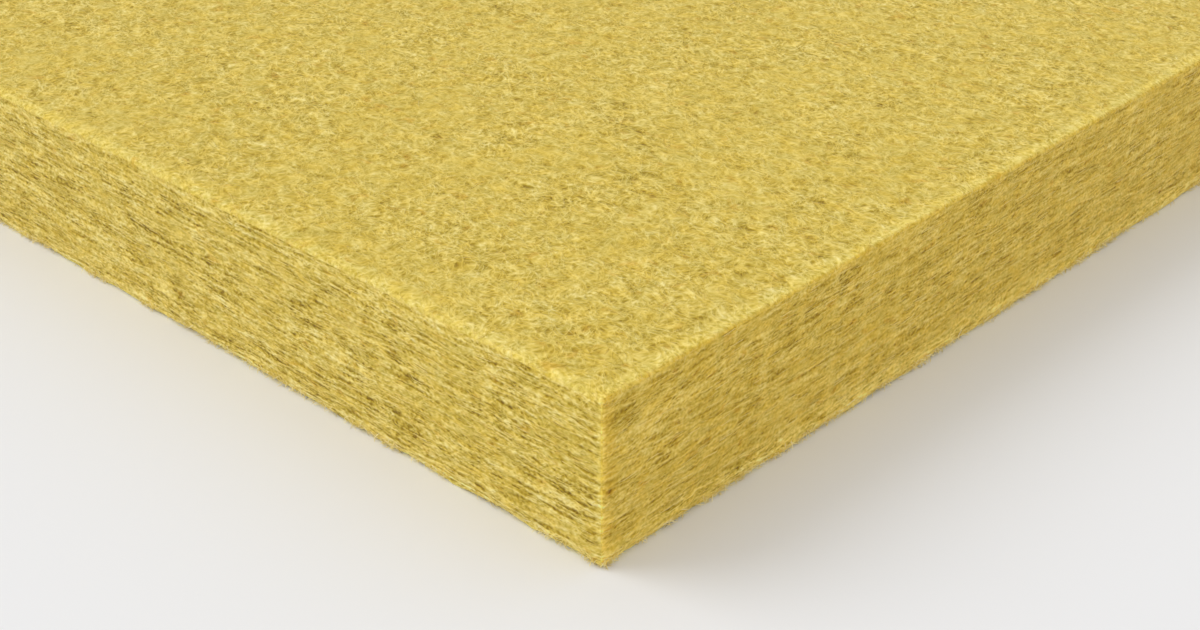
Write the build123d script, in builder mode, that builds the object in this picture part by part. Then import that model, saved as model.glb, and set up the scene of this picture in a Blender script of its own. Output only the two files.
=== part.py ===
"""A rigid glass wool board: one slab of bonded glass fibre, trimmed square on all four sides.

The board lies flat. Its origin is the centre of the under face, with +X along the length, +Y across
the width and +Z up through the thickness. All sizes are in millimetres.
"""

import os

from build123d import *

# The slab as it is sold
board_length = 1200.0
board_width = 600.0
board_thickness = 50.0

# The cut edges are soft, so every arris and every upright corner is slightly rounded
arris_radius = 1.0

# The trim cuts the slab square. The rolled faces stay flat right up to the rounded arrises.
with BuildPart() as glass_wool_board:
    with BuildSketch(Plane.XY):
        Rectangle(board_length, board_width)
    extrude(amount=board_thickness)
    fillet(glass_wool_board.edges(), radius=arris_radius)

glass_wool_board.part.label = "glass_wool_board"

os.makedirs("parts", exist_ok=True)
export_step(glass_wool_board.part, "parts/glass_wool_board.step")

extent = glass_wool_board.part.bounding_box().size
print(f"glass_wool_board: {extent.X:.1f} x {extent.Y:.1f} x {extent.Z:.1f} mm")
print(f"volume: {glass_wool_board.part.volume / 1e9:.5f} cubic metres")
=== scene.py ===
# %% [markdown]
# A glass wool board
#
# Glass wool board is spun glass, felted into a mat, sprayed with a yellow binder, pressed in an oven and
# trimmed square. The fibres lie flat in the mat, so the two broad faces look like felt, and the four cut
# sides show hundreds of thin layers edge on. This lesson starts from the plain slab, gives it that relief,
# lays loose strands of fibre on it, and lights it like a close-up on a pale floor.

# %% Load the slab that everything is measured from
import math

import bpy
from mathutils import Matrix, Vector


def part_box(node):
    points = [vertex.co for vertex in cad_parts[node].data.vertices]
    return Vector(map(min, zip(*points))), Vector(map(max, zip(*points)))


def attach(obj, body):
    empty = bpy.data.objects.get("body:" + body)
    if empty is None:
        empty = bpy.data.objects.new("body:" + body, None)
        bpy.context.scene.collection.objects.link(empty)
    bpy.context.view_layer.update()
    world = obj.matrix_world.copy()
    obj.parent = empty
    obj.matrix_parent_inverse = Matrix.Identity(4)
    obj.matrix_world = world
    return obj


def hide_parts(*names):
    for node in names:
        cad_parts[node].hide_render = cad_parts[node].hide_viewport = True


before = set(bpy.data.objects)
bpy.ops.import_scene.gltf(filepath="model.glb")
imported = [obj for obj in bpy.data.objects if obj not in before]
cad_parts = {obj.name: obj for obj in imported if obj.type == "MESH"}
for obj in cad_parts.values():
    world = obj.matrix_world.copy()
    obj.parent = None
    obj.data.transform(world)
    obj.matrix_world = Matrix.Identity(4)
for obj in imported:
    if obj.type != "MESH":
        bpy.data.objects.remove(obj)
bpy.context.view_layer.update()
slab_low, slab_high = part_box("glass_wool_board")
slab_size = slab_high - slab_low
slab_centre = (slab_high + slab_low) / 2
MM = 0.001
print("slab, mm:", [round(side / MM, 1) for side in slab_size])

# %% [markdown]
# The camera
#
# The picture is a close-up of one corner. Lines fitted to the five edges that show give the lens, the
# distance and the tilt, because the two sets of long edges run to two vanishing points. A camera in
# Blender looks along its own -Z axis, so its aim is a pitch up from straight down and a turn about Z.

# %% Place the camera
CAMERA_FROM_CORNER_MM = Vector((275.5, -290.9, 305.1))
LENS_MM = 60.4
SENSOR_MM = 36.0
CLIP_START_MM = 10.0
PITCH_DOWN_DEG = 30.05
TURN_DEG = 43.5
near_corner = Vector((slab_high.x, slab_low.y, slab_low.z))
camera = bpy.data.objects.new("camera", bpy.data.cameras.new("camera"))
camera.data.lens = LENS_MM
camera.data.sensor_width = SENSOR_MM
camera.data.clip_start = CLIP_START_MM * MM
camera.location = near_corner + CAMERA_FROM_CORNER_MM * MM
camera.rotation_euler = (math.radians(90 - PITCH_DOWN_DEG), 0, math.radians(TURN_DEG))
bpy.context.scene.collection.objects.link(camera)
bpy.context.scene.camera = camera
print("camera to the near corner, mm:", round(CAMERA_FROM_CORNER_MM.length))

# %% [markdown]
# Node trees in a few words
#
# Finishes and relief are both built from nodes. One small function adds any node: its settings are given
# by name, and each input gets a value or the node that feeds it. The kinds of node that come up most get
# short names. Colours are written as on a colour card, in sRGB hex, and a second function turns them into
# the linear values that nodes work with.

# %% Two helpers: one node, one colour
MATH = "ShaderNodeMath"
VECTOR_MATH = "ShaderNodeVectorMath"
MAP_RANGE = "ShaderNodeMapRange"
MIX = "ShaderNodeMix"
NOISE = "ShaderNodeTexNoise"
SPLIT_XYZ = "ShaderNodeSeparateXYZ"
JOIN_XYZ = "ShaderNodeCombineXYZ"


def add(tree, kind, inputs=(), **settings):
    """Adds a node. inputs maps a socket's name or number to a value, a socket, or a node's first output."""
    made = tree.nodes.new(kind)
    for name, value in settings.items():
        setattr(made, name, value)
    for key, value in dict(inputs).items():
        if isinstance(value, bpy.types.Node):
            value = value.outputs[0]
        if isinstance(value, bpy.types.NodeSocket):
            tree.links.new(value, made.inputs[key])
        else:
            made.inputs[key].default_value = value
    return made


def linear(hex_colour):
    """An sRGB hex colour as linear red, green, blue and alpha, by the curve of the sRGB standard."""
    parts = [int(hex_colour[i : i + 2], 16) / 255 for i in (1, 3, 5)]
    return [c / 12.92 if c <= 0.04045 else ((c + 0.055) / 1.055) ** 2.4 for c in parts] + [1.0]


print("mid grey in linear light:", round(linear("#808080")[0], 3))

# %% [markdown]
# The finish: bonded glass wool
#
# Glass wool is matt. The glass itself is clear, the binder gives the yellow, and the gaps between the
# fibres are dark with shade, which is painted into the colour. Plain noise through a colour ramp would look
# like stone, because it has no threads.
# A fibre is finer than a hair, so the eye sees strands of many fibres, drawn here a few tenths of a
# millimetre wide, as coarse as they need to be to show. A line where smooth noise passes its middle value
# wanders as a strand does, so noise that is stretched one way makes strands. The pattern is read from
# Object coordinates, so it runs on over every arris. The mesh carries four measures that tell the finish
# where it is: how far it is on a cut side or an end, and the way to an arris or an upright corner.

# %% Places in millimetres, and the measures that the board's mesh carries
MESH_MEASURES = ("cut_side", "end_cut", "arris_gap", "corner_gap")
wool = bpy.data.materials.new("bonded_glass_wool")
wool.use_nodes = True
finish = wool.node_tree
finish.nodes.clear()
place_m = add(finish, "ShaderNodeTexCoord").outputs["Object"]
place = add(finish, VECTOR_MATH, {0: place_m, "Scale": 1 / MM}, operation="SCALE")
carried = [add(finish, "ShaderNodeAttribute", attribute_name=name) for name in MESH_MEASURES]
cut_side, end_cut, arris_gap, corner_gap = [node.outputs["Fac"] for node in carried]
print("the finish reads from the mesh:", ", ".join(MESH_MEASURES))

# %% Clumps and strands, the two patterns of all fibre
NOISE_MIDDLE = 0.5
STRAND_DETAIL = 0.6


def clumps(tree, at, size_mm, thin, thick, detail=0.0):
    """Clumps of that size along X, Y and Z: from 0 where the noise is at thin to 1 where it is at thick."""
    scaled = add(tree, VECTOR_MATH, {0: at, 1: size_mm}, operation="DIVIDE")
    noise = add(tree, NOISE, {"Vector": scaled, "Scale": 1.0, "Detail": detail})
    return add(tree, MAP_RANGE, {"Value": noise, "From Min": thin, "From Max": thick})


def strands(tree, at, size_mm, half_width):
    """Wandering lines, as long and as far apart as size_mm: 1 along their middle and 0 away from it."""
    scaled = add(tree, VECTOR_MATH, {0: at, 1: size_mm}, operation="DIVIDE")
    noise = add(tree, NOISE, {"Vector": scaled, "Scale": 1.0, "Detail": STRAND_DETAIL})
    off = add(tree, MATH, {0: noise, 1: NOISE_MIDDLE}, operation="SUBTRACT")
    away = add(tree, MATH, {0: off}, operation="ABSOLUTE")
    across = {"Value": away, "From Min": half_width, "From Max": 0.0}
    return add(tree, MAP_RANGE, across, interpolation_type="SMOOTHSTEP")


# %% [markdown]
# The felt of the broad faces
#
# On the broad faces the strands lie in every direction and curl a little. Five directions are enough to
# look tangled, once a soft noise has bent the places where the strands are drawn. Each set reads another
# slice of the noise and lies a little lower than the set before, so some strands pass over others. A soft
# grain and fine specks fill the felt between them.

# %% Felt, 1: places that are bent by a soft noise
BEND_MM = 6.5
BEND_REACH_MM = 4.0
bend_noise = add(finish, NOISE, {"Vector": place, "Scale": 1 / BEND_MM, "Detail": 0.0})
off_centre = {0: bend_noise.outputs["Color"], 1: (NOISE_MIDDLE,) * 3}
bend = add(finish, VECTOR_MATH, off_centre, operation="SUBTRACT")
bent = {0: bend, 1: (BEND_REACH_MM,) * 3, 2: place}
bent_place = add(finish, VECTOR_MATH, bent, operation="MULTIPLY_ADD")
print("felt bends by up to", BEND_REACH_MM / 2, "mm each way")

# %% Felt, 2: strands in five directions, a soft grain and fine specks
FELT_TURNS_DEG = (8, 44, 80, 116, 152)
FELT_STRAND_MM = (15.0, 2.0, 2.0)
FELT_STRAND_WIDTH = 0.07
FELT_SLICE_MM = 31.0
FELT_STEP_DOWN = 0.12
FELT_GRAIN_MM = (3.2, 3.2, 3.2)
FELT_SPECK_MM = (1.2, 1.2, 1.2)
# Noise gathers round its middle, so nearly all of it lies in this range
MOST_NOISE = (0.25, 0.75)
felt = 0.0
for depth, turn in enumerate(FELT_TURNS_DEG):
    turn_by = {"Vector": bent_place, "Angle": math.radians(turn)}
    turned = add(finish, "ShaderNodeVectorRotate", turn_by, rotation_type="Z_AXIS")
    slice_up = (0, 0, FELT_SLICE_MM * depth)
    sliced = add(finish, VECTOR_MATH, {0: turned, 1: slice_up}, operation="ADD")
    line = strands(finish, sliced, FELT_STRAND_MM, FELT_STRAND_WIDTH)
    lower = add(finish, MATH, {0: line, 1: 1 - FELT_STEP_DOWN * depth}, operation="MULTIPLY")
    felt = add(finish, MATH, {0: felt, 1: lower}, operation="MAXIMUM")
felt_grain = clumps(finish, place, FELT_GRAIN_MM, *MOST_NOISE, detail=2.0)
felt_specks = clumps(finish, bent_place, FELT_SPECK_MM, *MOST_NOISE, detail=1.6)
print("felt strands, directions:", len(FELT_TURNS_DEG))

# %% [markdown]
# The layers of the cut sides
#
# A cut side shows the mat edge on: level grain of several lengths, long strands that lie nearly level,
# short ones that slant across them, and dark slits between. Stripes by height alone would run ruler
# straight from end to end. So the grain rides on a slow wave, and the strands and slits on a finer, ragged
# one as well. All of them are longer along the board than across it, because a mat that is made on a moving
# belt has more fibres along it.

# %% Layers, 1: level grain of three lengths on a slow wave
# Each grain: its length along, across and up the board, and its weight
LAYER_GRAINS = {(34.0, 26.0, 1.0): 0.34, (8.0, 7.0, 0.9): 0.25, (1.1, 1.0, 0.7): 0.5}
WAVE_MM = (30, 30, 8)
WAVE_RISE_MM = 2.5
ALL_NOISE = (0.0, 1.0)
wave = clumps(finish, place, WAVE_MM, *ALL_NOISE)
wave_mm = add(finish, MATH, {0: wave, 1: WAVE_RISE_MM}, operation="MULTIPLY")
wave_up = add(finish, JOIN_XYZ, {"Z": wave_mm})
waved_place = add(finish, VECTOR_MATH, {0: place, 1: wave_up}, operation="ADD")
layer_grain = 0.0
for grain_mm, weight in LAYER_GRAINS.items():
    grain = clumps(finish, waved_place, grain_mm, *MOST_NOISE)
    layer_grain = add(finish, MATH, {0: grain, 1: weight, 2: layer_grain}, operation="MULTIPLY_ADD")
print("level grains, mm:", list(LAYER_GRAINS))

# %% Layers, 2: long level strands, and short ones that cross them
LEVEL_STRAND_MM = (20.0, 15.0, 2.2)
LEVEL_SLOPES = (-0.08, 0.0, 0.07)
CROSS_STRAND_MM = (8.0, 7.0, 1.8)
CROSS_SLOPES = (-0.8, -0.35, 0.3, 0.9)
LAYER_STRAND_WIDTH = 0.09
LAYER_SLICE_MM = 23.0
LAYER_STEP_DOWN = 0.1
RAGGED_MM = (2.4, 2.4, 2.4)
# A range up to 2 halves the noise, so it lifts a strand by half a millimetre at most
RAGGED_NOISE = (0.0, 2.0)
ragged = clumps(finish, place, RAGGED_MM, *RAGGED_NOISE)
ragged_up = add(finish, JOIN_XYZ, {"Z": ragged})
ragged_place = add(finish, VECTOR_MATH, {0: waved_place, 1: ragged_up}, operation="ADD")


def sloped_strands(strand_mm, slopes):
    """Strands in several slopes, each set a little lower than the one before."""
    laid = 0.0
    for depth, slope in enumerate(slopes):
        slope_by = {0: ragged_place, 1: (slope, slope, 0)}
        rise = add(finish, VECTOR_MATH, slope_by, operation="DOT_PRODUCT").outputs["Value"]
        raised = add(finish, MATH, {0: rise, 1: LAYER_SLICE_MM * depth}, operation="ADD")
        up = add(finish, JOIN_XYZ, {"Z": raised})
        sloped = add(finish, VECTOR_MATH, {0: ragged_place, 1: up}, operation="ADD")
        line = strands(finish, sloped, strand_mm, LAYER_STRAND_WIDTH)
        lower = add(finish, MATH, {0: line, 1: 1 - LAYER_STEP_DOWN * depth}, operation="MULTIPLY")
        laid = add(finish, MATH, {0: laid, 1: lower}, operation="MAXIMUM")
    return laid


level_strands = sloped_strands(LEVEL_STRAND_MM, LEVEL_SLOPES)
cross_strands = sloped_strands(CROSS_STRAND_MM, CROSS_SLOPES)
print("layer strands, slopes:", LEVEL_SLOPES + CROSS_SLOPES)

# %% Layers, 3: slits between the layers, and hollows where the wool is thin; both sink, and the tones paint them dark with shade
SLIT_MM = (7.0, 5.5, 0.85)
HOLLOW_MM = (5.5, 5.0, 2.8)
# A range that runs downwards marks the low places of the noise
SLIT_NOISE = (0.46, 0.26)
HOLLOW_NOISE = (0.38, 0.24)
layer_slits = clumps(finish, ragged_place, SLIT_MM, *SLIT_NOISE, detail=1.0)
hollows = clumps(finish, waved_place, HOLLOW_MM, *HOLLOW_NOISE, detail=1.0)
print("slits and hollows, mm:", SLIT_MM, HOLLOW_MM)

# %% [markdown]
# One height for colour and relief
#
# A strand that stands up catches the light, and a gap is dark because little light gets in. So the patterns
# are added up to one height, which gives both the bump and the colour; the colour is the wool's own tone
# with that light and shade painted in. A real board isn't even: some patches are matted close and look
# smooth, others are open and streaky. In an open patch the height is pushed further from its middle, and in
# a close one it is drawn towards it.

# %% Height: strands stand up, hollows and slits sink
FELT_WEIGHTS = ((felt_grain, 0.38), (felt_specks, 0.56), (felt, 0.36), (hollows, -0.24))
LAYER_WEIGHTS = (
    (layer_grain, 0.94),
    (level_strands, 0.46),
    (cross_strands, 0.32),
    (layer_slits, -0.2),
    (hollows, -0.2),
)
# Along the arrises the strands lie loose over even felt
LOOSE_WEIGHTS = ((felt, 0.25), (felt_specks, 0.6))
FELT_BASE = 0.135
LAYER_BASE = -0.14
LOOSE_BASE = 0.34
HEIGHTS = ((FELT_BASE, FELT_WEIGHTS), (LAYER_BASE, LAYER_WEIGHTS), (LOOSE_BASE, LOOSE_WEIGHTS))
wool_heights = []
for base, weights in HEIGHTS:
    total = base
    for pattern, weight in weights:
        total = add(finish, MATH, {0: pattern, 1: weight, 2: total}, operation="MULTIPLY_ADD")
    wool_heights.append(total)
felt_height, layer_height, loose_height = wool_heights
even_height = add(finish, MIX, {0: cut_side, 2: felt_height, 3: layer_height}, data_type="FLOAT")
print("heights added up from patterns:", [len(weights) for base, weights in HEIGHTS])

# %% Contrast: close and open patches, and calmer ends
PATCH_MM = (22.0, 18.0, 9.0)
PATCH_NOISE = (0.3, 0.7)
CLOSE_CONTRAST = 0.74
OPEN_CONTRAST = 1.33
END_CALM = 0.24
MIDDLE_HEIGHT = 0.72
patches = clumps(finish, bent_place, PATCH_MM, *PATCH_NOISE, detail=1.5)
by_patch = {"Value": patches, "To Min": CLOSE_CONTRAST, "To Max": OPEN_CONTRAST}
patch_contrast = add(finish, MAP_RANGE, by_patch)
# The ends are cut across most of the fibres, so their layers stand out less
by_end = {"Value": end_cut, "To Min": 1.0, "To Max": 1 - END_CALM}
end_contrast = add(finish, MAP_RANGE, by_end)
contrast = add(finish, MATH, {0: patch_contrast, 1: end_contrast}, operation="MULTIPLY")
off_middle = add(finish, MATH, {0: even_height, 1: MIDDLE_HEIGHT}, operation="SUBTRACT")
stretched = {0: off_middle, 1: contrast, 2: MIDDLE_HEIGHT}
wool_height = add(finish, MATH, stretched, operation="MULTIPLY_ADD")
print("contrast of patches:", CLOSE_CONTRAST, "to", OPEN_CONTRAST)

# %% [markdown]
# Rims of painted light
#
# Along the arrises and the upright corners loose strands stand clear of the mat, and light soaks into them
# from several sides, so an edge looks brighter than the faces beside it. Scattering under the surface would
# be the true way, but it is slow, and the export loses it. So that light is painted into the colour: it
# gains some red, green and blue near an edge, by the gaps that the mesh carries. An upright corner is
# broken into beads by the layers that end there, and the beads get painted highlights, with a faint warm
# painted glow beside the corner on the end. The lower arrises get painted light as well, which lifts the
# shade near the floor.

# %% Rims of painted light, 1: how far each one reaches and how strong it is
FACE_RIM_MM = 6.5
SIDE_RIM_MM = 0.4
ARRIS_RIM_STRENGTH = 0.9
CORNER_RIM_MM = 1.6
CORNER_GLOW_MM = 6.0
BEAD_MM = (4.0, 4.0, 1.8)
BEAD_NOISE = (0.36, 0.62)
BEAD_STRENGTH = 1.2
# The lower rims are painted light that lifts the shade near the floor, and on the ends it reaches higher
LOWER_RIM_MM = 5.0
LOWER_END_RIM_MM = 11.0
LOWER_RIM_STRENGTH = 1.3
arris_reach = add(finish, MIX, {0: cut_side, 2: FACE_RIM_MM, 3: SIDE_RIM_MM}, data_type="FLOAT")
beads = clumps(finish, place, BEAD_MM, *BEAD_NOISE, detail=1.0)
bead_strength = add(finish, MATH, {0: beads, 1: BEAD_STRENGTH}, operation="MULTIPLY")
# The way to a lower arris is the gap to any arris, or the height above the floor if that is more
up_place = add(finish, SPLIT_XYZ, {0: place}).outputs["Z"]
lower_gap = add(finish, MATH, {0: up_place, 1: arris_gap}, operation="MAXIMUM")
lower_reach = add(finish, MIX, {0: end_cut, 2: LOWER_RIM_MM, 3: LOWER_END_RIM_MM}, data_type="FLOAT")
print("rims reach, mm:", FACE_RIM_MM, SIDE_RIM_MM, CORNER_RIM_MM, LOWER_RIM_MM)

# %% Rims of painted light, 2: what each one adds to red, green and blue
PALE_LIGHT = (0.24, 0.31, 0.7)
DEEP_LIGHT = (0.24, 0.22, 0.1)
BEAD_LIGHT = (0.32, 0.38, 0.7)
GLOW_LIGHT = (0.07, 0.03, -0.08)
# The long arrises get a pale painted glow, and those of the ends a deeper yellow one
by_side = {0: end_cut, 4: PALE_LIGHT, 5: DEEP_LIGHT}
arris_light = add(finish, MIX, by_side, data_type="VECTOR").outputs[1]
# Each rim: the gap that it is measured by, its reach, its strength and the painted light that it adds
LIGHT_RIMS = (
    (arris_gap, arris_reach, ARRIS_RIM_STRENGTH, arris_light),
    (corner_gap, CORNER_RIM_MM, bead_strength, BEAD_LIGHT),
    (corner_gap, CORNER_GLOW_MM, end_cut, GLOW_LIGHT),
    (lower_gap, lower_reach, LOWER_RIM_STRENGTH, PALE_LIGHT),
)
rim_light = (1.0, 1.0, 1.0)
rim_shares = []
for gap_to, reach_mm, strength, gain in LIGHT_RIMS:
    fade = {"Value": gap_to, "From Min": reach_mm, "From Max": 0.0, "To Max": strength}
    rim = add(finish, MAP_RANGE, fade, interpolation_type="SMOOTHSTEP")
    rim_light = add(finish, VECTOR_MATH, {0: gain, 1: rim, 2: rim_light}, operation="MULTIPLY_ADD")
    rim_shares.append(rim)
print("rims:", len(LIGHT_RIMS))

# %% Rims, 3: along the arrises the height is that of loose strands
LOWER_LOOSE_MM = 1.8
arris_rim = rim_shares[0]
fade = {"Value": lower_gap, "From Min": LOWER_LOOSE_MM, "From Max": 0.0}
lower_loose = add(finish, MAP_RANGE, fade)
loose_share = add(finish, MATH, {0: arris_rim, 1: lower_loose}, operation="ADD", use_clamp=True)
rim_height = add(finish, MIX, {0: loose_share, 2: wool_height, 3: loose_height}, data_type="FLOAT")
print("wool finish so far, nodes:", len(finish.nodes))

# %% [markdown]
# Colour
#
# Colour follows the height: the wool's own yellows, with painted shade in the deep gaps and painted light
# on the strands that catch it. Binder is uneven on a real board: lean patches are close to straw, rich ones
# are a deeper yellow, and dried drops leave specks. Light runs in along the fibres that an end cuts across,
# so the ends look deeper too, and that light is painted into their colour. Each of these is a thin coat of
# tint over the one before, and the tones and the rims' painted light go on last.

# %% Tones by height: the wool's own yellows, with painted shade low and painted light high
WOOL_TONES = {
    0.0: "#85680A",
    0.36: "#AE9326",
    0.66: "#CDB44C",
    0.92: "#E2CA68",
    1.15: "#F2DC84",
    1.4: "#FFEE9E",
}
RAMP_MIDDLE = 0.5
tallest = max(WOOL_TONES)
height_share = add(finish, MATH, {0: rim_height, 1: tallest}, operation="DIVIDE")
tones = add(finish, "ShaderNodeValToRGB", {0: height_share})
# New stops start in the middle of the ramp, and then every stop is moved to its own place
stops = tones.color_ramp.elements
while len(stops) < len(WOOL_TONES):
    stops.new(RAMP_MIDDLE)
for stop, (tone_height, hex_colour) in zip(stops, WOOL_TONES.items()):
    stop.position = tone_height / tallest
    stop.color = linear(hex_colour)
print("tones:", len(stops))

# %% Coats of tint: binder, painted light on the ends, then the tones and the rims' painted light
BINDER_PATCH_MM = (5.0, 5.0, 2.5)
BINDER_SPECK_MM = (6.0, 6.0, 3.0)
SPECK_NOISE = (0.63, 0.76)
LEAN_TINT = "#FAFCFF"
RICH_TINT = "#FFF8D2"
SPECK_TINT = "#EFDDA6"
# The ends' deeper tint is painted light, for the light that runs in along the fibres that they cut across
END_LIGHT_TINT = "#FFF7E2"
binder_patches = clumps(finish, bent_place, BINDER_PATCH_MM, *PATCH_NOISE, detail=1.5)
binder_specks = clumps(finish, bent_place, BINDER_SPECK_MM, *SPECK_NOISE, detail=1.5)
# Each coat: how much of it there is, its colour, and how it joins the coats below
COATS = (
    (binder_patches, linear(RICH_TINT), "MIX"),
    (binder_specks, linear(SPECK_TINT), "MIX"),
    (end_cut, linear(END_LIGHT_TINT), "MULTIPLY"),
    (1.0, tones, "MULTIPLY"),
    (1.0, rim_light, "MULTIPLY"),
)
colour = linear(LEAN_TINT)
for amount, coat, joins in COATS:
    coated = {0: amount, 6: colour, 7: coat}
    on_top = add(finish, MIX, coated, data_type="RGBA", blend_type=joins, clamp_result=True)
    colour = on_top.outputs[2]
print("coats of tint:", len(COATS))

# %% [markdown]
# The shader
#
# Bonded glass wool is rough and hardly shines. Its loose fuzz gives a pale haze at shallow angles, which is
# what sheen draws. The bump follows the same height as the colour, so every dark gap is also a dip.

# %% Shader: rough, hardly shiny, with a pale sheen
BUMP_STRENGTH = 0.8
BUMP_MM = 0.5
dips = {"Strength": BUMP_STRENGTH, "Distance": BUMP_MM * MM, "Height": rim_height}
bump = add(finish, "ShaderNodeBump", dips)
WOOL_SURFACE = {
    "Base Color": colour,
    "Roughness": 0.9,
    "Specular IOR Level": 0.15,
    "Sheen Weight": 0.18,
    "Sheen Roughness": 0.5,
    "Sheen Tint": linear("#FFF3C8"),
    "Normal": bump,
}
shader = add(finish, "ShaderNodeBsdfPrincipled", WOOL_SURFACE)
add(finish, "ShaderNodeOutputMaterial", {"Surface": shader})
print("wool finish, nodes:", len(finish.nodes))

# %% [markdown]
# The board's relief
#
# The real board is one pressed mat, so it is one closed mesh. It could be the plain slab with a bump
# finish, but then its outline would be ruler straight. Here a grid box is rounded at its arrises and moved
# in and out by noise: thin flat layers on the cut sides, soft felt on the faces, and ragged arrises.
# Geometry Nodes suit this, because every point follows the same rule. A tree's sizes are its named inputs.

# %% Start the relief tree with its named sizes, in millimetres
RELIEF_SIZES = {
    "Half Size": tuple(slab_size / 2 / MM),
    "Arris Radius": 0.7,
    "Grid Along": 240,
    "Grid Across": 120,
    "Grid Up": 52,
    "Layer Depth": 0.4,
    "Felt Depth": 0.3,
    "Upper Wear": 0.2,
    "Lower Wear": 0.8,
}
SOCKET_TYPES = {float: "NodeSocketFloat", int: "NodeSocketInt", tuple: "NodeSocketVector"}


def named_inputs(tree, sizes):
    """Gives a tree an input for each size. Returns these by name, and the outputs that bring them in."""
    for way in ("INPUT", "OUTPUT"):
        tree.interface.new_socket("Geometry", in_out=way, socket_type="NodeSocketGeometry")
    sockets = {}
    for name, value in sizes.items():
        kind = SOCKET_TYPES[type(value)]
        sockets[name] = tree.interface.new_socket(name, in_out="INPUT", socket_type=kind)
    return sockets, add(tree, "NodeGroupInput").outputs


relief = bpy.data.node_groups.new("board_relief", "GeometryNodeTree")
relief_sockets, given = named_inputs(relief, RELIEF_SIZES)
half = given["Half Size"]
print("relief sizes:", len(relief_sockets))

# %% A grid box, with its lines drawn closer together towards the edges
EVEN_SHARE = (0.12, 0.12, 1.0)
ONES = (1, 1, 1)
box_size = add(relief, VECTOR_MATH, {0: half, 1: (2, 2, 2)}, operation="MULTIPLY")
box_lines = {
    "Size": box_size,
    "Vertices X": given["Grid Along"],
    "Vertices Y": given["Grid Across"],
    "Vertices Z": given["Grid Up"],
}
grid_box = add(relief, "GeometryNodeMeshCube", box_lines)
flat_place = add(relief, "GeometryNodeInputPosition")
share = add(relief, VECTOR_MATH, {0: flat_place, 1: half}, operation="DIVIDE")
side_of = add(relief, VECTOR_MATH, {0: share}, operation="SIGN")
from_middle = add(relief, VECTOR_MATH, {0: share}, operation="ABSOLUTE")
inwards = add(relief, VECTOR_MATH, {0: ONES, 1: from_middle}, operation="SUBTRACT")
# The way in from an edge is squared, which is small near the edge, and an even share is kept of the rest
squared = add(relief, VECTOR_MATH, {0: inwards, 1: inwards}, operation="MULTIPLY")
spread = add(relief, VECTOR_MATH, {0: inwards, 1: squared}, operation="SUBTRACT")
closer = add(relief, VECTOR_MATH, {0: spread, 1: EVEN_SHARE, 2: squared}, operation="MULTIPLY_ADD")
outwards = add(relief, VECTOR_MATH, {0: ONES, 1: closer}, operation="SUBTRACT")
signed = add(relief, VECTOR_MATH, {0: outwards, 1: side_of}, operation="MULTIPLY")
spaced = add(relief, VECTOR_MATH, {0: signed, 1: half}, operation="MULTIPLY")
print("grid lines:", [RELIEF_SIZES["Grid " + way] for way in ("Along", "Across", "Up")])

# %% Round the arrises: keep each point one radius from an inner box
radius = given["Arris Radius"]
inner_half = add(relief, VECTOR_MATH, {0: half, 1: radius}, operation="SUBTRACT")
inner_low = add(relief, VECTOR_MATH, {0: inner_half, "Scale": -1.0}, operation="SCALE")
not_over = add(relief, VECTOR_MATH, {0: spaced, 1: inner_half}, operation="MINIMUM")
inner = add(relief, VECTOR_MATH, {0: not_over, 1: inner_low}, operation="MAXIMUM")
reach = add(relief, VECTOR_MATH, {0: spaced, 1: inner}, operation="SUBTRACT")
outward = add(relief, VECTOR_MATH, {0: reach}, operation="NORMALIZE")
skin = add(relief, VECTOR_MATH, {0: outward, "Scale": radius}, operation="SCALE")
rounded = add(relief, VECTOR_MATH, {0: inner, 1: skin}, operation="ADD")
print("arris radius, mm:", RELIEF_SIZES["Arris Radius"])

# %% Say for each point how far it is a cut side or an end, and how far off arrises and corners are
outward_xyz = add(relief, SPLIT_XYZ, {0: outward}).outputs
upright = add(relief, MATH, {0: outward_xyz["Z"]}, operation="ABSOLUTE")
cut_share = add(relief, MATH, {0: 1.0, 1: upright}, operation="SUBTRACT", use_clamp=True)
end_share = add(relief, MATH, {0: outward_xyz["X"]}, operation="ABSOLUTE")
place_size = add(relief, VECTOR_MATH, {0: spaced}, operation="ABSOLUTE")
gap = add(relief, VECTOR_MATH, {0: half, 1: place_size}, operation="SUBTRACT")
gap_xyz = add(relief, SPLIT_XYZ, {0: gap}).outputs
# One of the three gaps is zero on any face, and the middle one of the three is the way to an arris
nearer = add(relief, MATH, {0: gap_xyz["X"], 1: gap_xyz["Y"]}, operation="MINIMUM")
to_corner = add(relief, MATH, {0: gap_xyz["X"], 1: gap_xyz["Y"]}, operation="MAXIMUM")
lower_pick = add(relief, MATH, {0: to_corner, 1: gap_xyz["Z"]}, operation="MINIMUM")
to_arris = add(relief, MATH, {0: nearer, 1: lower_pick}, operation="MAXIMUM")
measures = dict(zip(MESH_MEASURES, (cut_share, end_share, to_arris, to_corner)))
print("measures for the mesh:", list(measures))

# %% Heights in millimetres: layers on the sides and felt on the faces
# Each relief is two clumps added up: their size, the range of noise that they use, and their detail
RELIEF_CLUMPS = {
    "layers": (((30, 30, 2.4), (0.2, 0.8), 1.0), ((8, 8, 2.2), (0.2, 0.8), 1.0)),
    "felt": (((9, 9, 9), (0.2, 0.8), 2.0), ((70, 70, 70), (0.2, 0.8), 0.0)),
    "wear": (((7, 7, 7), (0.3, 0.7), 3.0), ((20, 20, 20), (0.35, 0.65), 1.0)),
}
reliefs = {}
for relief_name, both in RELIEF_CLUMPS.items():
    first, second = [clumps(relief, rounded, size, *span, detail) for size, span, detail in both]
    reliefs[relief_name] = add(relief, MATH, {0: first, 1: second}, operation="ADD")
side_height = add(relief, MATH, {0: reliefs["layers"], 1: given["Layer Depth"]}, operation="MULTIPLY")
face_height = add(relief, MATH, {0: reliefs["felt"], 1: given["Felt Depth"]}, operation="MULTIPLY")
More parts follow.
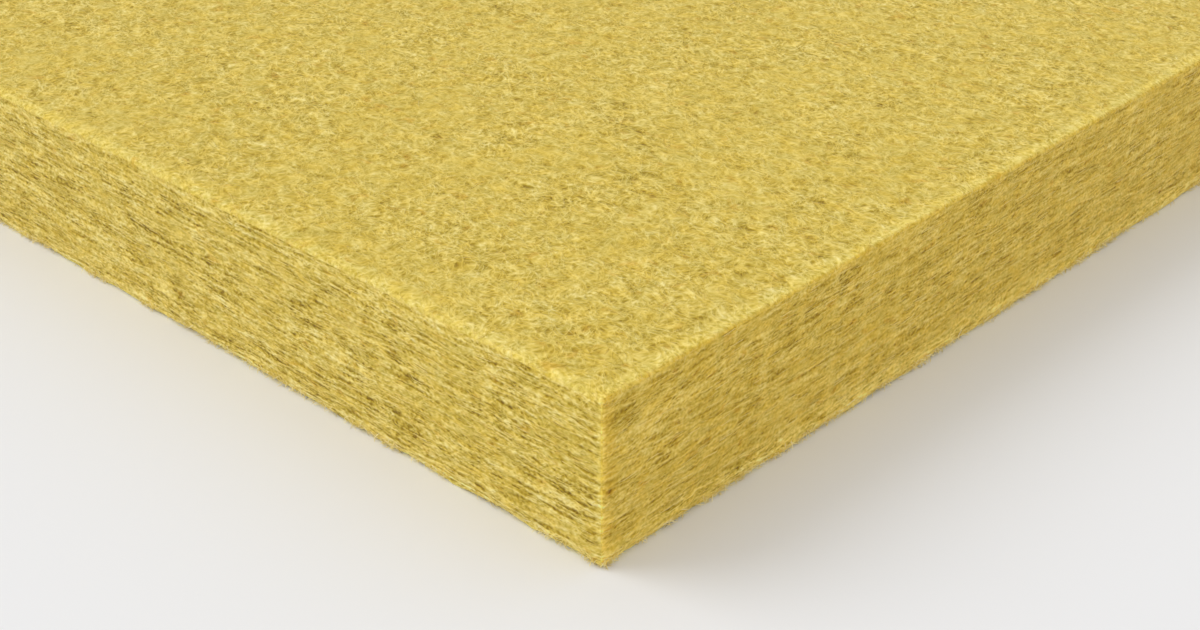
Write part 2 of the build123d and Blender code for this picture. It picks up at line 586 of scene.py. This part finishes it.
skin_height = add(relief, MIX, {0: cut_share, 2: face_height, 3: side_height}, data_type="FLOAT")
print("reliefs:", list(reliefs))

# %% Wear: it eats into the arrises, deeper at the lower ones than at the upper ones
WEAR_REACH_MM = 4.0
# From the middle of the board, as shares of its thickness: all lower wear, and all upper wear
WEAR_LOW = -0.4
WEAR_HIGH = -0.1
fade = {"Value": to_arris, "From Min": WEAR_REACH_MM, "From Max": 0.0}
near_arris = add(relief, MAP_RANGE, fade, interpolation_type="SMOOTHSTEP")
by_height = {
    "Value": add(relief, SPLIT_XYZ, {0: rounded}).outputs["Z"],
    "From Min": WEAR_LOW * slab_size.z / MM,
    "From Max": WEAR_HIGH * slab_size.z / MM,
    "To Min": given["Lower Wear"],
    "To Max": given["Upper Wear"],
}
wear_depth = add(relief, MAP_RANGE, by_height)
worn = add(relief, MATH, {0: reliefs["wear"], 1: near_arris}, operation="MULTIPLY")
worn_mm = add(relief, MATH, {0: worn, 1: wear_depth}, operation="MULTIPLY")
height = add(relief, MATH, {0: skin_height, 1: worn_mm}, operation="SUBTRACT")
print("wear, upper and lower, mm:", RELIEF_SIZES["Upper Wear"], RELIEF_SIZES["Lower Wear"])

# %% Move the points, and keep the under face flat on the floor
NO_LIMIT = -1e6
moved = add(relief, VECTOR_MATH, {0: outward, "Scale": height}, operation="SCALE")
relief_place = add(relief, VECTOR_MATH, {0: rounded, 1: moved}, operation="ADD")
lifted = add(relief, VECTOR_MATH, {0: relief_place, 1: tuple(slab_centre / MM)}, operation="ADD")
floor_limit = (NO_LIMIT, NO_LIMIT, 0.0)
on_floor = add(relief, VECTOR_MATH, {0: lifted, 1: floor_limit}, operation="MAXIMUM")
in_metres = add(relief, VECTOR_MATH, {0: on_floor, "Scale": MM}, operation="SCALE")
print("relief tree so far, nodes:", len(relief.nodes))

# %% Keep the measures on the mesh, where the finish and the strands can read them
STORE = "GeometryNodeStoreNamedAttribute"
shaped = grid_box
for name, value in measures.items():
    stored = {"Geometry": shaped, "Name": name, "Value": value}
    shaped = add(relief, STORE, stored, data_type="FLOAT", domain="POINT")
print("measures kept:", len(measures))

# %% [markdown]
# A flat sheet for baking
#
# The export bakes the finish into textures, so each point of the board needs its own place on a flat
# square sheet. An automatic unwrap would cut the board into many islands with seams between them. A slab
# has six plain sides, so each one simply gets a part of the sheet, and the upper face gets half of it.

# %% Lay the six sides out on one sheet
# The export bakes a piece on the layout of this name
SHEET_NAME = "OFBake"
SHEET_MARGIN = 0.004
# Each face of a side is a full share of 1 away from the board's middle, but for rounding
SAME_SIDE = 0.999
# Each side: the way it faces, then the axes across and up its sheet, its lowest point and its size there
SHEETS = (
    ((0, 0, 1), (1, 0, 0), (0, 1, 0), (0.0, 0.5), (1.0, 0.5)),
    ((0, 0, -1), (1, 0, 0), (0, 1, 0), (0.0, 0.0), (0.5, 0.25)),
    ((0, -1, 0), (1, 0, 0), (0, 0, 1), (0.0, 0.25), (1.0, 0.125)),
    ((0, 1, 0), (1, 0, 0), (0, 0, 1), (0.0, 0.375), (1.0, 0.125)),
    ((1, 0, 0), (0, 1, 0), (0, 0, 1), (0.5, 0.0), (0.5, 0.125)),
    ((-1, 0, 0), (0, 1, 0), (0, 0, 1), (0.5, 0.125), (0.5, 0.125)),
)
of_face = {"data_type": "FLOAT_VECTOR", "domain": "FACE"}
face_middle = add(relief, "GeometryNodeFieldOnDomain", {0: share}, **of_face)
sheet_place = (0, 0, 0)
for faces_to, across_axis, up_axis, lowest, extent in SHEETS:
    towards = add(relief, VECTOR_MATH, {0: face_middle, 1: faces_to}, operation="DOT_PRODUCT")
    compared = {0: towards.outputs["Value"], 1: SAME_SIDE}
    on_side = add(relief, "FunctionNodeCompare", compared, operation="GREATER_THAN")
    sheet_xy = {}
    for letter, axis, low, long in zip("XY", (across_axis, up_axis), lowest, extent):
        from_centre = add(relief, VECTOR_MATH, {0: signed, 1: axis}, operation="DOT_PRODUCT")
        on_sheet = {0: from_centre.outputs["Value"], 1: long / 2 - SHEET_MARGIN, 2: low + long / 2}
        sheet_xy[letter] = add(relief, MATH, on_sheet, operation="MULTIPLY_ADD")
    side_place = add(relief, JOIN_XYZ, sheet_xy)
    this_or_other = {"Switch": on_side, "False": sheet_place, "True": side_place}
    sheet_place = add(relief, "GeometryNodeSwitch", this_or_other, input_type="VECTOR")
stored = {"Geometry": shaped, "Name": SHEET_NAME, "Value": sheet_place}
sheeted = add(relief, STORE, stored, data_type="FLOAT2", domain="CORNER")
print("sides on the sheet:", len(SHEETS))

# %% Finish the relief tree
SET_POSITION = "GeometryNodeSetPosition"
relief_mesh = add(relief, SET_POSITION, {"Geometry": sheeted, "Position": in_metres})
smooth = add(relief, "GeometryNodeSetShadeSmooth", {"Geometry": relief_mesh, "Shade Smooth": True})
finished = add(relief, "GeometryNodeSetMaterial", {"Geometry": smooth, "Material": wool})
add(relief, "NodeGroupOutput", {0: finished})
print("relief tree, nodes:", len(relief.nodes))


# %% Run a tree and keep its result as a plain mesh
def grown(name, tree, sockets, sizes, start=None):
    """A new object at the origin with the mesh that the tree makes. start is the mesh that it grows on."""
    seed = bpy.data.objects.new(name + "_seed", start or bpy.data.meshes.new(name + "_seed"))
    bpy.context.scene.collection.objects.link(seed)
    modifier = seed.modifiers.new("made", "NODES")
    modifier.node_group = tree
    for size_name, value in sizes.items():
        modifier[sockets[size_name].identifier] = value
    graph = bpy.context.evaluated_depsgraph_get()
    mesh = bpy.data.meshes.new_from_object(
        seed.evaluated_get(graph), preserve_all_data_layers=True, depsgraph=graph
    )
    seed.modifiers.remove(modifier)
    bpy.data.objects.remove(seed)
    mesh.name = name
    made = bpy.data.objects.new(name, mesh)
    bpy.context.scene.collection.objects.link(made)
    print(name, "triangles:", sum(len(face.vertices) - 2 for face in mesh.polygons))
    return made


wool_board = grown("wool_board", relief, relief_sockets, RELIEF_SIZES)

# %% [markdown]
# Loose strands
#
# Strands of fibre lie on the felt, show edge on in the cut sides, and stand out as fuzz along the arrises.
# Hair curves would be lost in the export, so each strand is a thin closed spindle, bent a little. Geometry
# Nodes scatter a few bent spindles over the board and turn them: any way on the faces, nearly level on the
# sides. A real fibre is far finer, so these are drawn as coarse as they need to be to show. A strand is
# glass with a thin coat of binder, paler than the felt below, and each has a tone of its own.

# %% The strands' finish: binder-coated glass, by each strand's own tone
STRAND_TONES = {0.0: "#CDB452", 0.4: "#E2CC70", 0.8: "#F5E294", 1.0: "#FFF4C8"}
strand_glass = bpy.data.materials.new("binder_coated_glass_strand")
strand_glass.use_nodes = True
strand_finish = strand_glass.node_tree
strand_finish.nodes.clear()
strand_tone = add(strand_finish, "ShaderNodeAttribute", attribute_name="strand_tone").outputs["Fac"]
strand_ramp = add(strand_finish, "ShaderNodeValToRGB", {0: strand_tone})
stops = strand_ramp.color_ramp.elements
while len(stops) < len(STRAND_TONES):
    stops.new(RAMP_MIDDLE)
for stop, (tone_share, hex_colour) in zip(stops, STRAND_TONES.items()):
    stop.position = tone_share
    stop.color = linear(hex_colour)
STRAND_SURFACE = {"Base Color": strand_ramp, "Roughness": 0.8, "Specular IOR Level": 0.2}
strand_shader = add(strand_finish, "ShaderNodeBsdfPrincipled", STRAND_SURFACE)
add(strand_finish, "ShaderNodeOutputMaterial", {"Surface": strand_shader})
print("strand tones:", len(stops))

# %% Start the strand tree with its named sizes, in millimetres and radians
# The usual sizes are those of the strands in a cut side, and ANY sets no limit
ANY = 1000.0
STRAND_SIZES = {
    "Cut Side Low": 0.0,
    "Cut Side High": 1.0,
    "Arris Reach": ANY,
    "Lowest": 0.0,
    "Highest": ANY,
    "Facing": (0.0, 0.0, 1.0),
    "Facing Least": -ANY,
    "Per Square Metre": 80000.0,
    "Tufts": 0.0,
    "Shortest": 2.0,
    "Longest": 8.0,
    "Swing": 0.08,
    "Lift": 0.03,
    "Sink": 0.05,
    "Thickness": 0.022,
    "Darkest": 0.0,
    "Palest": 0.8,
    "Joints": 3,
    "Seed": 1,
}
scatter = bpy.data.node_groups.new("loose_strands", "GeometryNodeTree")
strand_sockets, chosen = named_inputs(scatter, STRAND_SIZES)
print("strand sizes:", len(strand_sockets))

# %% [markdown]
# Bent spindles
#
# A sphere with three sides and a few rings, drawn out long and thin, is a closed spindle of a dozen or so
# faces, which is little enough to repeat thousands of times. Its middle is pushed aside and arched by a
# share of its length, and its ends drop a little, so that they sink into the surface that it lies on.

# %% A straight spindle, one unit long
SPINDLE_SIDES = 3
HALF_UNIT = 0.5
rounds = {"Segments": SPINDLE_SIDES, "Rings": chosen["Joints"], "Radius": HALF_UNIT}
ball = add(scatter, "GeometryNodeMeshUVSphere", rounds)
ball_place = add(scatter, "GeometryNodeInputPosition")
stored = {"Geometry": ball, "Name": "on_spindle", "Value": ball_place}
measured = add(scatter, STORE, stored, data_type="FLOAT_VECTOR", domain="POINT")
ball_xyz = add(scatter, SPLIT_XYZ, {0: ball_place}).outputs
thin_y = add(scatter, MATH, {0: ball_xyz["X"], 1: chosen["Thickness"]}, operation="MULTIPLY")
thin_z = add(scatter, MATH, {0: ball_xyz["Y"], 1: chosen["Thickness"]}, operation="MULTIPLY")
print("sides of a spindle:", SPINDLE_SIDES)

# %% Bend it in seven ways
END_DROP = 0.02
# Each way: how far the middle goes sideways, and how high it arches
BENDS = ((0.02, 0.04), (0.1, 0.06), (-0.14, 0.03), (0.24, 0.07), (-0.3, 0.05), (0.05, 0.09), (-0.06, 0.02))
# The bow is 1 at the middle of the spindle and 0 at its two ends
along_squared = add(scatter, MATH, {0: ball_xyz["Z"], 1: ball_xyz["Z"]}, operation="MULTIPLY")
falls_off = {0: along_squared, 1: -1 / HALF_UNIT**2, 2: 1.0}
bow = add(scatter, MATH, falls_off, operation="MULTIPLY_ADD")
spindle_parts = []
for sideways, arch in BENDS:
    bent_y = add(scatter, MATH, {0: bow, 1: sideways, 2: thin_y}, operation="MULTIPLY_ADD")
    bent_z = add(scatter, MATH, {0: bow, 1: arch + END_DROP, 2: thin_z}, operation="MULTIPLY_ADD")
    bowed = add(scatter, JOIN_XYZ, {"X": ball_xyz["Z"], "Y": bent_y, "Z": bent_z})
    dropped = add(scatter, VECTOR_MATH, {0: bowed, 1: (0, 0, END_DROP)}, operation="SUBTRACT")
    spindle = add(scatter, SET_POSITION, {"Geometry": measured, "Position": dropped})
    spindle_parts.append(add(scatter, "GeometryNodeGeometryToInstance", {0: spindle}))
spindles = add(scatter, "GeometryNodeJoinGeometry")
for part in reversed(spindle_parts):
    scatter.links.new(part.outputs[0], spindles.inputs[0])
print("bent spindles:", len(spindle_parts))

# %% [markdown]
# Where strands lie
#
# The measures on the board's mesh say where a strand may grow: on a face or a cut side, near an arris, up
# to a height, or where the surface faces a given way. A spot has to keep all the limits. On the lower
# arrises the trimming blade leaves tufts with bare gaps between them, so there a noise thins the strands.

# %% Limits on the spots
READ = "GeometryNodeInputNamedAttribute"
cut_at = add(scatter, READ, {"Name": "cut_side"}, data_type="FLOAT").outputs[0]
gap_at = add(scatter, READ, {"Name": "arris_gap"}, data_type="FLOAT").outputs[0]
spot_place = add(scatter, "GeometryNodeInputPosition")
spot_mm = add(scatter, VECTOR_MATH, {0: spot_place, "Scale": 1 / MM}, operation="SCALE")
spot_up = add(scatter, SPLIT_XYZ, {0: spot_mm}).outputs["Z"]
both_ways = {0: add(scatter, "GeometryNodeInputNormal"), 1: chosen["Facing"]}
facing = add(scatter, VECTOR_MATH, both_ways, operation="DOT_PRODUCT").outputs["Value"]
LIMITS = (
    (cut_at, "GREATER_EQUAL", "Cut Side Low"),
    (cut_at, "LESS_EQUAL", "Cut Side High"),
    (gap_at, "LESS_EQUAL", "Arris Reach"),
    (spot_up, "GREATER_EQUAL", "Lowest"),
    (spot_up, "LESS_EQUAL", "Highest"),
    (facing, "GREATER_EQUAL", "Facing Least"),
)
wanted = True
for measure, rule, limit in LIMITS:
    kept = add(scatter, "FunctionNodeCompare", {0: measure, 1: chosen[limit]}, operation=rule)
    wanted = add(scatter, "FunctionNodeBooleanMath", {0: wanted, 1: kept}, operation="AND")
print("limits on the spots:", len(LIMITS))

# %% Scatter the spots: in tufts where Tufts is 1, and evenly where it is 0
TUFT_MM = (6.0, 6.0, 6.0)
TUFT_NOISE = (0.42, 0.62)
tuft_share = clumps(scatter, spot_mm, TUFT_MM, *TUFT_NOISE)
crowded = add(scatter, MIX, {0: chosen["Tufts"], 2: 1.0, 3: tuft_share}, data_type="FLOAT")
per_area = add(scatter, MATH, {0: crowded, 1: chosen["Per Square Metre"]}, operation="MULTIPLY")
spread_by = {
    "Mesh": chosen["Geometry"],
    "Selection": wanted,
    "Density": per_area,
    "Seed": chosen["Seed"],
}
spots = add(scatter, "GeometryNodeDistributePointsOnFaces", spread_by)
normal = spots.outputs["Normal"]
print("tufts, mm:", TUFT_MM)

# %% Draw for each strand a swing in the surface, a lift out of it, a length and a tone
swing_back = add(scatter, MATH, {0: chosen["Swing"], 1: -1.0}, operation="MULTIPLY")
lift_back = add(scatter, MATH, {0: chosen["Lift"], 1: -1.0}, operation="MULTIPLY")
DRAWS = (
    (swing_back, chosen["Swing"]),
    (lift_back, chosen["Lift"]),
    (chosen["Shortest"], chosen["Longest"]),
    (chosen["Darkest"], chosen["Palest"]),
)
RANDOM = "FunctionNodeRandomValue"
drawn = []
for draw, (least, most) in enumerate(DRAWS):
    own_seed = add(scatter, MATH, {0: chosen["Seed"], 1: draw}, operation="ADD")
    between = {2: least, 3: most, "Seed": own_seed}
    drawn.append(add(scatter, RANDOM, between, data_type="FLOAT").outputs[1])
swing, lift, strand_size, tone = drawn
pick_seed = add(scatter, MATH, {0: chosen["Seed"], 1: len(DRAWS)}, operation="ADD")
any_spindle = {4: 0, 5: len(BENDS) - 1, "Seed": pick_seed}
pick = add(scatter, RANDOM, any_spindle, data_type="INT").outputs[2]
print("random draws for a strand:", len(DRAWS) + 1)

# %% Turn each strand: level along its side first, then by its own swing and lift
ALIGN = "FunctionNodeAlignRotationToVector"
# A broad face has no level direction of its own, so a nudge along X stands in
NUDGE_X = (0.001, 0, 0)
level = add(scatter, VECTOR_MATH, {0: (0, 0, 1), 1: normal}, operation="CROSS_PRODUCT")
level_or_x = add(scatter, VECTOR_MATH, {0: level, 1: NUDGE_X}, operation="ADD")
along_level = add(scatter, ALIGN, {"Vector": level_or_x}, axis="X", pivot_axis="AUTO")
stood = {"Rotation": along_level, "Vector": normal}
on_surface = add(scatter, ALIGN, stood, axis="Z", pivot_axis="X")
own_turn = add(scatter, JOIN_XYZ, {"Y": lift, "Z": swing})
own_rotation = add(scatter, "FunctionNodeEulerToRotation", {0: own_turn})
turned_by = {"Rotation": on_surface, "Rotate By": own_rotation}
rotation = add(scatter, "FunctionNodeRotateRotation", turned_by, rotation_space="LOCAL")
print("strand tree so far, nodes:", len(scatter.nodes))

# %% Set each strand on the surface, with its tone and the way that the surface faces
strand_metres = add(scatter, MATH, {0: strand_size, 1: MM}, operation="MULTIPLY")
sink_metres = add(scatter, MATH, {0: chosen["Sink"], 1: -MM}, operation="MULTIPLY")
sunk_by = add(scatter, VECTOR_MATH, {0: normal, "Scale": sink_metres}, operation="SCALE")
marked = add(scatter, SET_POSITION, {"Geometry": spots, "Offset": sunk_by})
for name, value, kind in (("strand_tone", tone, "FLOAT"), ("lies_on", normal, "FLOAT_VECTOR")):
    stored = {"Geometry": marked, "Name": name, "Value": value}
    marked = add(scatter, STORE, stored, data_type=kind, domain="POINT")
laid_out = {
    "Points": marked,
    "Instance": spindles,
    "Pick Instance": True,
    "Instance Index": pick,
    "Rotation": rotation,
    "Scale": strand_metres,
}
laid = add(scatter, "GeometryNodeInstanceOnPoints", laid_out)
real_strands = add(scatter, "GeometryNodeRealizeInstances", {"Geometry": laid})
print("strands are set by", list(laid_out))

# %% Keep every strand above the floor, and light it as the surface below it
FLOOR_GAP_MM = 0.05
SKY_SHARE = 0.45
strand_place = add(scatter, "GeometryNodeInputPosition")
floor_limit = (NO_LIMIT, NO_LIMIT, slab_low.z + FLOOR_GAP_MM * MM)
above_floor = add(scatter, VECTOR_MATH, {0: strand_place, 1: floor_limit}, operation="MAXIMUM")
kept_up = add(scatter, SET_POSITION, {"Geometry": real_strands, "Position": above_floor})
# Light soaks through a strand, so it has no dark side of its own, and it gets some light from above
lies_on = add(scatter, READ, {"Name": "lies_on"}, data_type="FLOAT_VECTOR").outputs[0]
sky_limit = (NO_LIMIT, NO_LIMIT, SKY_SHARE)
lit_from = add(scatter, VECTOR_MATH, {0: lies_on, 1: sky_limit}, operation="MAXIMUM")
lit_along = add(scatter, VECTOR_MATH, {0: lit_from}, operation="NORMALIZE")
shaded = {"Mesh": kept_up, "Custom Normal": lit_along}
lit_strands = add(scatter, "GeometryNodeSetMeshNormal", shaded, mode="FREE", domain="POINT")
print("gap over the floor, mm:", FLOOR_GAP_MM)

# %% Lay the strands out by tone, so that each takes its own colour from a baked texture
SHEET_USE = 0.94
SHEET_STRIP = 0.02
SHEET_MIDDLE = 0.5
tone_at = add(scatter, READ, {"Name": "strand_tone"}, data_type="FLOAT").outputs[0]
on_spindle = add(scatter, READ, {"Name": "on_spindle"}, data_type="FLOAT_VECTOR").outputs[0]
spindle_xyz = add(scatter, SPLIT_XYZ, {0: on_spindle}).outputs
strip_at = add(scatter, MATH, {0: tone_at, 1: SHEET_USE, 2: SHEET_STRIP}, operation="MULTIPLY_ADD")
across = {0: spindle_xyz["X"], 1: SHEET_STRIP, 2: strip_at}
along = {0: spindle_xyz["Z"], 1: SHEET_USE, 2: SHEET_MIDDLE}
strip_x = add(scatter, MATH, across, operation="MULTIPLY_ADD")
strip_y = add(scatter, MATH, along, operation="MULTIPLY_ADD")
strip_place = add(scatter, JOIN_XYZ, {"X": strip_x, "Y": strip_y})
stored = {"Geometry": lit_strands, "Name": SHEET_NAME, "Value": strip_place}
strip_sheet = add(scatter, STORE, stored, data_type="FLOAT2", domain="CORNER")
bound = add(scatter, "GeometryNodeSetMaterial", {"Geometry": strip_sheet, "Material": strand_glass})
add(scatter, "NodeGroupOutput", {0: bound})
print("strand tree, nodes:", len(scatter.nodes))

# %% [markdown]
# Four sorts of strand
#
# Long strands lie any way on the upper face. Those in the cut sides lie nearly level, as the layers do. The
# upper arrises carry short fuzz, and the lower ones longer, thicker and paler tufts. Each sort is a piece
# of its own, with a seed of its own, so that it comes out the same every time.

# %% Grow the strands of each sort
STRAND_PIECES = {
    "upper_face_strands": {
        "Cut Side High": 0.3,
        "Facing Least": 0.1,
        "Per Square Metre": 14800.0,
        "Shortest": 2.5,
        "Longest": 7.0,
        "Swing": math.pi,
        "Lift": 0.02,
        "Sink": 0.02,
        "Joints": 4,
        "Seed": 11,
    },
    "side_strands": {"Cut Side Low": 0.5, "Seed": 21},
    "upper_arris_fuzz": {
        "Arris Reach": 1.2,
        "Lowest": 49.0,
        "Facing Least": -0.01,
        "Per Square Metre": 1100000.0,
        "Shortest": 1.2,
        "Longest": 3.6,
        "Swing": 1.3,
        "Lift": 0.4,
        "Thickness": 0.028,
        "Seed": 31,
    },
    "lower_arris_fuzz": {
        "Cut Side Low": 0.02,
        "Arris Reach": 2.0,
        "Highest": 2.2,
        "Facing Least": -0.55,
        "Per Square Metre": 4400000.0,
        "Tufts": 1.0,
        "Shortest": 1.4,
        "Longest": 5.0,
        "Swing": 1.4,
        "Lift": 1.2,
        "Sink": 0.0,
        "Thickness": 0.05,
        # The lower tufts take the paler tones as painted light from the bright floor that they lie on
        "Darkest": 0.5,
        "Palest": 1.0,
        "Seed": 41,
    },
}
strand_pieces = []
for piece_name, own_sizes in STRAND_PIECES.items():
    sizes = {**STRAND_SIZES, **own_sizes}
    piece = grown(piece_name, scatter, strand_sockets, sizes, wool_board.data.copy())
    strand_pieces.append(piece)

# %% [markdown]
# The floor and the light
#
# The board lies on a plain pale floor. Pale surroundings light it evenly. One broad soft lamp from the
# upper left makes the upper face and the left side a little brighter than the right side, and a weak, very
# broad one keeps the right side from going dull.

# %% Lay the floor
FLOOR_SIZE_M = 40.0
bpy.ops.mesh.primitive_plane_add(size=FLOOR_SIZE_M, location=(0, 0, slab_low.z))
floor = bpy.context.object
floor.name = "floor"
pale = bpy.data.materials.new("pale_floor")
pale.use_nodes = True
pale_shader = pale.node_tree.nodes["Principled BSDF"]
pale_shader.inputs["Base Color"].default_value = linear("#EDEDEE")
pale_shader.inputs["Roughness"].default_value = 0.6
floor.data.materials.append(pale)
print("floor at height, mm:", round(slab_low.z / MM, 3))

# %% Set the lamps and the surroundings
# Each lamp: the way to it, its strength and how broad it looks, in degrees
LAMPS = {"soft_lamp": ((-0.62, -0.38, 0.66), 1.1, 40), "fill_lamp": ((0.9, -0.3, 0.14), 0.23, 90)}
ROOM_STRENGTH = 0.76
for lamp_name, (to_lamp, strength, softness_deg) in LAMPS.items():
    lamp = bpy.data.objects.new(lamp_name, bpy.data.lights.new(lamp_name, "SUN"))
    lamp.data.energy = strength
    lamp.data.angle = math.radians(softness_deg)
    lamp.rotation_euler = Vector(to_lamp).to_track_quat("Z", "Y").to_euler()
    bpy.context.scene.collection.objects.link(lamp)
room = bpy.data.worlds.new("pale_room")
bpy.context.scene.world = room
room.use_nodes = True
walls = room.node_tree.nodes["Background"].inputs
walls["Color"].default_value = linear("#FFFFFF")
walls["Strength"].default_value = ROOM_STRENGTH
bpy.context.scene.view_settings.view_transform = "Standard"
print("lamps:", list(LAMPS))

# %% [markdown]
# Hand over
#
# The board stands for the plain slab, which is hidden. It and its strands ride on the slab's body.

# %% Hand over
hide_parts("glass_wool_board")
for piece in [wool_board] + strand_pieces:
    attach(piece, "root")
print("pieces handed over:", 1 + len(strand_pieces))
